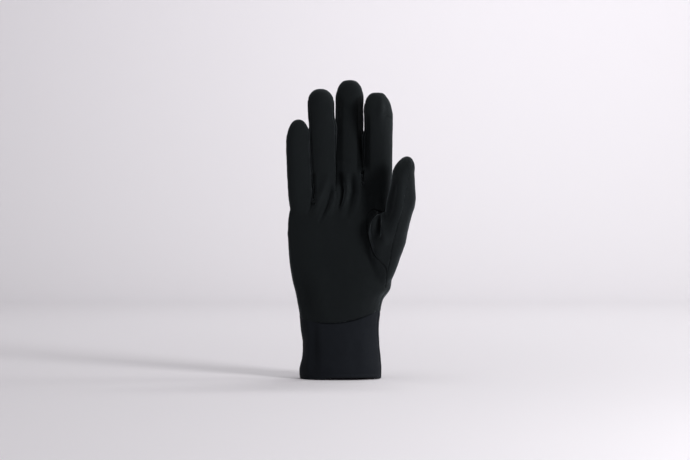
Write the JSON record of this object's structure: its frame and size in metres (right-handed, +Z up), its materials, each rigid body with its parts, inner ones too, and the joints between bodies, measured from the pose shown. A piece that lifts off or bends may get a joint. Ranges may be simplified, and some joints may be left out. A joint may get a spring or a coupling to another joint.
{
  "type": "softshell glove",
  "caption": "Right-hand softshell glove in dark stretch cloth, in its worn form with the fingers up: thumb set forward, narrow strips between the fingers and a wide folded cuff.",
  "frame": {"origin": "middle of the cuff's mouth, where the wrist goes in", "axes": "+Z up from the cuff's mouth to the fingertips, -Y out of the palm, +X towards the thumb"},
  "size_m": [0.1158, 0.0712, 0.2696],
  "materials": {
    "hand_softshell": "matt, very dark grey, faint brushed sheen",
    "cuff_jersey": "smoother matt, very dark grey with a cool tint"
  },
  "bodies": {
    "root": {"palm_panel": "hand_softshell", "back_panel": "hand_softshell", "thumb_front": "hand_softshell", "cuff_front": "cuff_jersey", "cuff_back": "cuff_jersey", "strip_little_ring": "hand_softshell", "strip_ring_middle": "hand_softshell", "strip_middle_index": "hand_softshell"}
  },
  "joints": []
}
